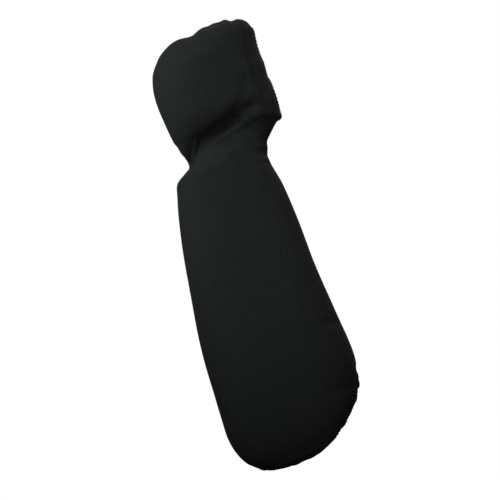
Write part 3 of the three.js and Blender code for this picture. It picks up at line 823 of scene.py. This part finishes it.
def stitch_line(points, normals):
    """Starts, ends and normals of stitches at an even pitch along a closed line."""
    closed = np.concatenate([points, points[:1]])
    way = np.concatenate([[0], np.cumsum(np.linalg.norm(np.diff(closed, axis=0), axis=1))])
    count = int(way[-1] / STITCH_PITCH)
    start = np.arange(count) * way[-1] / count

    def at(far, values):
        looped = np.concatenate([values, values[:1]])
        return np.stack([np.interp(far % way[-1], way, looped[:, axis]) for axis in range(3)], axis=-1)

    middle = at(start + STITCH_LENGTH / 2, normals)
    middle /= np.linalg.norm(middle, axis=-1, keepdims=True)
    return at(start, points), at(start + STITCH_LENGTH, points), middle


def build_stitches():
    """The stitches of all three hems."""
    lines = []
    angles = 360 * np.arange(BAND_AROUND) / BAND_AROUND
    for row in STITCH_ROWS:
        point, normal, lift = forearm_cloth(angles, np.full((BAND_AROUND, 1), row))
        over = lift + HEM_STANDS_PROUD + HEM_SWELL - STITCH_DENT
        lines.append(stitch_line((point + normal * over[..., None])[:, 0], normal[:, 0]))
    hand_hems = [(FINGER_OPENING, FINGER_BAND_AROUND), (THUMB_OPENING, THUMB_BAND_AROUND)]
    for opening, steps in hand_hems:
        point, normal, outward = opening_edge(opening, 2 * np.pi * np.arange(steps) / steps)
        on_hem = point + outward * OPENING_STITCH_ROW + normal * HEM_STANDS_PROUD
        lines.append(stitch_line(on_hem, normal))
    starts, ends, normals = (np.concatenate(part) for part in zip(*lines))
    return finish_piece(thread_object("hem_stitches", starts, ends, normals), "hem_cloth")


# The seam: its bars, the gaps at the forearm's ends, its heights on the hand and a rough radius there
SEAM_WIDTH = 4.4 * MM
SEAM_PITCH = 1.7 * MM
SEAM_GAPS = (1.5 * MM, 1 * MM)
SEAM_HAND_HEIGHTS = (0.02, 0.385)
SEAM_RADIUS = 48 * MM


def seam_bar(point, normal, lift):
    """Both ends of a bar of the seam, and the cloth's normal between them."""
    start, end = (point + normal * lift[..., None])[:, 0]
    return start, end, normal[:, 0].mean(axis=0)


def build_seam():
    """The flat zigzag seam up the palm side, from the elbow hem to below the finger opening."""
    length = way_up(forearm_face, np.array([SEAM_ANGLE]))[0, -1]
    low_gap, high_gap = SEAM_GAPS
    low_far = np.arange(ELBOW_HEM_WIDTH + low_gap, length - high_gap, SEAM_PITCH)
    hand_heights = np.arange(*SEAM_HAND_HEIGHTS, SEAM_PITCH / HAND_LENGTH)
    half_turn = np.degrees(SEAM_WIDTH / 2 / SEAM_RADIUS)
    sides = np.array([SEAM_ANGLE - half_turn, SEAM_ANGLE + half_turn])
    bars = []
    for far in low_far:
        bars.append(seam_bar(*forearm_cloth(sides, np.array([[far], [far + SEAM_PITCH / 2]]))))
    for height in hand_heights:
        share = hand_share_at(np.array([[height], [height + SEAM_PITCH / 2 / HAND_LENGTH]]))
        bars.append(seam_bar(*hand_cloth(sides[:, None], share, np.full((2, 1), height))))
    starts, ends, normals = (np.array(part) for part in zip(*bars))
    threads = thread_object("seam_threads", starts, ends, normals)
    return finish_piece(threads, "knit_cloth")


def math_node(tree, operation, first, second=None):
    """A math node fed by sockets or plain numbers."""
    node = tree.nodes.new("ShaderNodeMath")
    node.operation = operation
    for socket, value in zip(node.inputs, (first, second)):
        if value is None:
            continue
        if isinstance(value, (int, float)):
            socket.default_value = value
        else:
            tree.links.new(value, socket)
    return node.outputs[0]


def knit_height(tree):
    """Two slanted legs of yarn in each wale, bound in courses."""
    place = tree.nodes.new("ShaderNodeUVMap")
    place.uv_map = "knit"
    split = tree.nodes.new("ShaderNodeSeparateXYZ")
    tree.links.new(place.outputs[0], split.inputs[0])
    inside = math_node(tree, "FRACT", split.outputs[0])
    from_middle = math_node(tree, "ABSOLUTE", math_node(tree, "SUBTRACT", inside, 0.5))
    from_leg = math_node(tree, "ABSOLUTE", math_node(tree, "SUBTRACT", from_middle, 0.25))
    leg = math_node(tree, "SUBTRACT", 1.0, math_node(tree, "MULTIPLY", from_leg, 4.0))
    slanted = math_node(tree, "ADD", split.outputs[1], from_middle)
    turn = math_node(tree, "MULTIPLY", slanted, 2 * np.pi)
    bound = math_node(tree, "MULTIPLY", math_node(tree, "SINE", turn), 0.3)
    return math_node(tree, "MULTIPLY", leg, math_node(tree, "ADD", bound, 0.7))


def noise_value(tree, scale, detail):
    place = tree.nodes.new("ShaderNodeTexCoord")
    noise = tree.nodes.new("ShaderNodeTexNoise")
    noise.inputs["Scale"].default_value = scale
    noise.inputs["Detail"].default_value = detail
    tree.links.new(place.outputs["Object"], noise.inputs["Vector"])
    return noise.outputs[0]


def mixed_colour(tree, share, dark, pale):
    mix = tree.nodes.new("ShaderNodeMix")
    mix.data_type = "RGBA"
    mix.inputs["A"].default_value = (*dark, 1)
    mix.inputs["B"].default_value = (*pale, 1)
    tree.links.new(share, mix.inputs["Factor"])
    return mix.outputs["Result"]


def cloth_material(name, dark, pale, knit_bump, fuzz_bump):
    """Matte near black cloth with knit loops, uneven dye and a little fuzz, its colour painted darker in
    the gaps between the loops as shade.
    """
    material = bpy.data.materials.new(name)
    material.use_nodes = True
    tree = material.node_tree
    shader = tree.nodes["Principled BSDF"]
    shader.inputs["Roughness"].default_value = 0.92
    shader.inputs["Specular IOR Level"].default_value = 0.16
    dye = noise_value(tree, 520, 2)
    fuzz = noise_value(tree, 1500, 2)
    loops = knit_height(tree) if knit_bump else fuzz
    # The colour follows the loops' height: paler on the raised yarn and darker in the gaps between loops,
    # which is painted shade. The dye and fuzz noise add the yarn's own random tone.
    share = math_node(tree, "ADD", math_node(tree, "MULTIPLY", loops, 0.7), -0.4)
    share = math_node(tree, "ADD", share, math_node(tree, "MULTIPLY", dye, 0.6))
    share = math_node(tree, "ADD", share, math_node(tree, "MULTIPLY", fuzz, 0.5))
    tree.links.new(mixed_colour(tree, share, dark, pale), shader.inputs["Base Color"])
    height = math_node(tree, "MULTIPLY", fuzz, fuzz_bump)
    if knit_bump:
        height = math_node(tree, "ADD", height, math_node(tree, "MULTIPLY", loops, knit_bump))
    bump = tree.nodes.new("ShaderNodeBump")
    bump.inputs["Distance"].default_value = 0.35 * MM
    tree.links.new(height, bump.inputs["Height"])
    tree.links.new(bump.outputs[0], shader.inputs["Normal"])
    return material


# The white surround lights the part less than it shows
SOFT_LIGHT = 0.0534

# Camera: the photograph's frame is 500 pixels a side, and a pixel is 0.9 mm at the part's centre
SENSOR_WIDTH = 36
PIXEL = 0.9 * MM
FRAME_SIDE = 500
LEAN = np.radians(17.2)
AIM = Vector((0.0009, 0, 0.1933))
CAMERA_AWAY = 1.8


def add_camera():
    camera = bpy.data.objects.new("camera", bpy.data.cameras.new("camera"))
    bpy.context.scene.collection.objects.link(camera)
    camera.data.sensor_width = SENSOR_WIDTH
    camera.data.lens = SENSOR_WIDTH * CAMERA_AWAY / (PIXEL * FRAME_SIDE)
    right = Vector((np.cos(LEAN), 0, -np.sin(LEAN)))
    up = Vector((np.sin(LEAN), 0, np.cos(LEAN)))
    back = Vector((0, -1, 0))
    turn = Matrix((right, up, back)).transposed().to_4x4()
    camera.matrix_world = Matrix.Translation(AIM + back * CAMERA_AWAY) @ turn
    bpy.context.scene.camera = camera


def add_light(name, place, size, power, colour, aim=AIM, spread=180):
    light = bpy.data.objects.new(name, bpy.data.lights.new(name, "AREA"))
    light.data.shape = "DISK"
    light.data.size = size
    light.data.energy = power
    light.data.color = colour
    light.data.spread = np.radians(spread)
    light.location = place
    light.rotation_euler = (Vector(aim) - Vector(place)).to_track_quat("-Z", "Y").to_euler()
    bpy.context.scene.collection.objects.link(light)


# The floor shows as pale as the surround and throws no light on the part
FLOOR_DROP = 0.5
FLOOR_RADIUS = 3.0
FLOOR_POINTS = 64
FLOOR_GLOW = 1.0


def add_floor():
    """A plain pale floor, well below the part."""
    low = cad_low[2] - FLOOR_DROP
    turns = 2 * np.pi * np.arange(FLOOR_POINTS) / FLOOR_POINTS
    points = [(FLOOR_RADIUS * np.cos(t), FLOOR_RADIUS * np.sin(t), low) for t in turns]
    floor = mesh_object("floor", points, [np.arange(FLOOR_POINTS)[None]])
    material = bpy.data.materials.new("pale_floor")
    material.use_nodes = True
    shader = material.node_tree.nodes["Principled BSDF"]
    shader.inputs["Base Color"].default_value = (0.93, 0.93, 0.93, 1)
    shader.inputs["Roughness"].default_value = 0.95
    shader.inputs["Specular IOR Level"].default_value = 0.1
    shader.inputs["Emission Color"].default_value = (1, 1, 1, 1)
    shader.inputs["Emission Strength"].default_value = FLOOR_GLOW
    floor.data.materials.append(material)
    floor.visible_diffuse = False
    floor.visible_glossy = False


def add_world():
    world = bpy.data.worlds.new("studio")
    world.use_nodes = True
    tree = world.node_tree
    background = tree.nodes["Background"]
    background.inputs["Color"].default_value = (1, 1, 1, 1)
    seen = tree.nodes.new("ShaderNodeLightPath").outputs["Is Camera Ray"]
    more = math_node(tree, "MULTIPLY", seen, 1 - SOFT_LIGHT)
    tree.links.new(math_node(tree, "ADD", more, SOFT_LIGHT), background.inputs["Strength"])
    bpy.context.scene.world = world
    bpy.context.scene.view_settings.view_transform = "Standard"


add_camera()
add_floor()
add_world()
add_light("key", (-0.34, -0.66, 0.84), 0.42, 0.763, (0.96, 0.99, 1.0), (-0.01, 0, 0.3), 44)
add_light("edge", (-0.75, 0.1, 0.75), 0.4, 0.267, (0.82, 0.94, 1.0), (-0.04, 0, 0.38), 27)
add_light("fill", (1.0, -1.4, 0.9), 0.5, 0.1297, (1, 1, 1), (0.04, 0, 0.27), 20)
add_light("low", (0.5, -1.1, -0.1), 0.4, 0.1373, (1, 1, 1), (0.02, 0, 0.27), 24)
add_light("back", (0.7, 1.3, 1.1), 1.2, 10.68, (1, 1, 1))

knit = cloth_material("knit", (0.0035, 0.0042, 0.004), (0.024, 0.0265, 0.0256), 1.0, 0.5)
cover = cloth_material("cover", (0.010, 0.011, 0.011), (0.036, 0.039, 0.038), 0.7, 0.5)
hem = cloth_material("hem", (0.003, 0.0036, 0.0034), (0.019, 0.021, 0.0204), 1.0, 0.5)
thread = cloth_material("thread", (0.004, 0.0048, 0.0046), (0.022, 0.0245, 0.024), 0, 0.5)

cloth = build_cloth()
forearm_foam = build_pad(
    "forearm_foam", "forearm_pad", FOREARM_PAD, FOREARM_PAD_THICKNESS, FOREARM_PAD_CELLS, forearm_pad_cloth
)
hand_foam = build_pad(
    "hand_foam", "hand_pad", HAND_PAD, HAND_PAD_THICKNESS, HAND_PAD_CELLS, hand_pad_cloth
)
elbow_band = build_elbow_band()
finger_band = build_opening_band("finger_band", "finger_hem", FINGER_OPENING, FINGER_BAND_AROUND)
thumb_band = build_opening_band("thumb_band", "thumb_hem", THUMB_OPENING, THUMB_BAND_AROUND)
stitches = build_stitches()
seam = build_seam()

for obj, material in (
    (cloth, knit),
    (forearm_foam, cover),
    (hand_foam, cover),
    (elbow_band, hem),
    (finger_band, hem),
    (thumb_band, hem),
    (stitches, thread),
    (seam, thread),
):
    obj.data.materials.append(material)
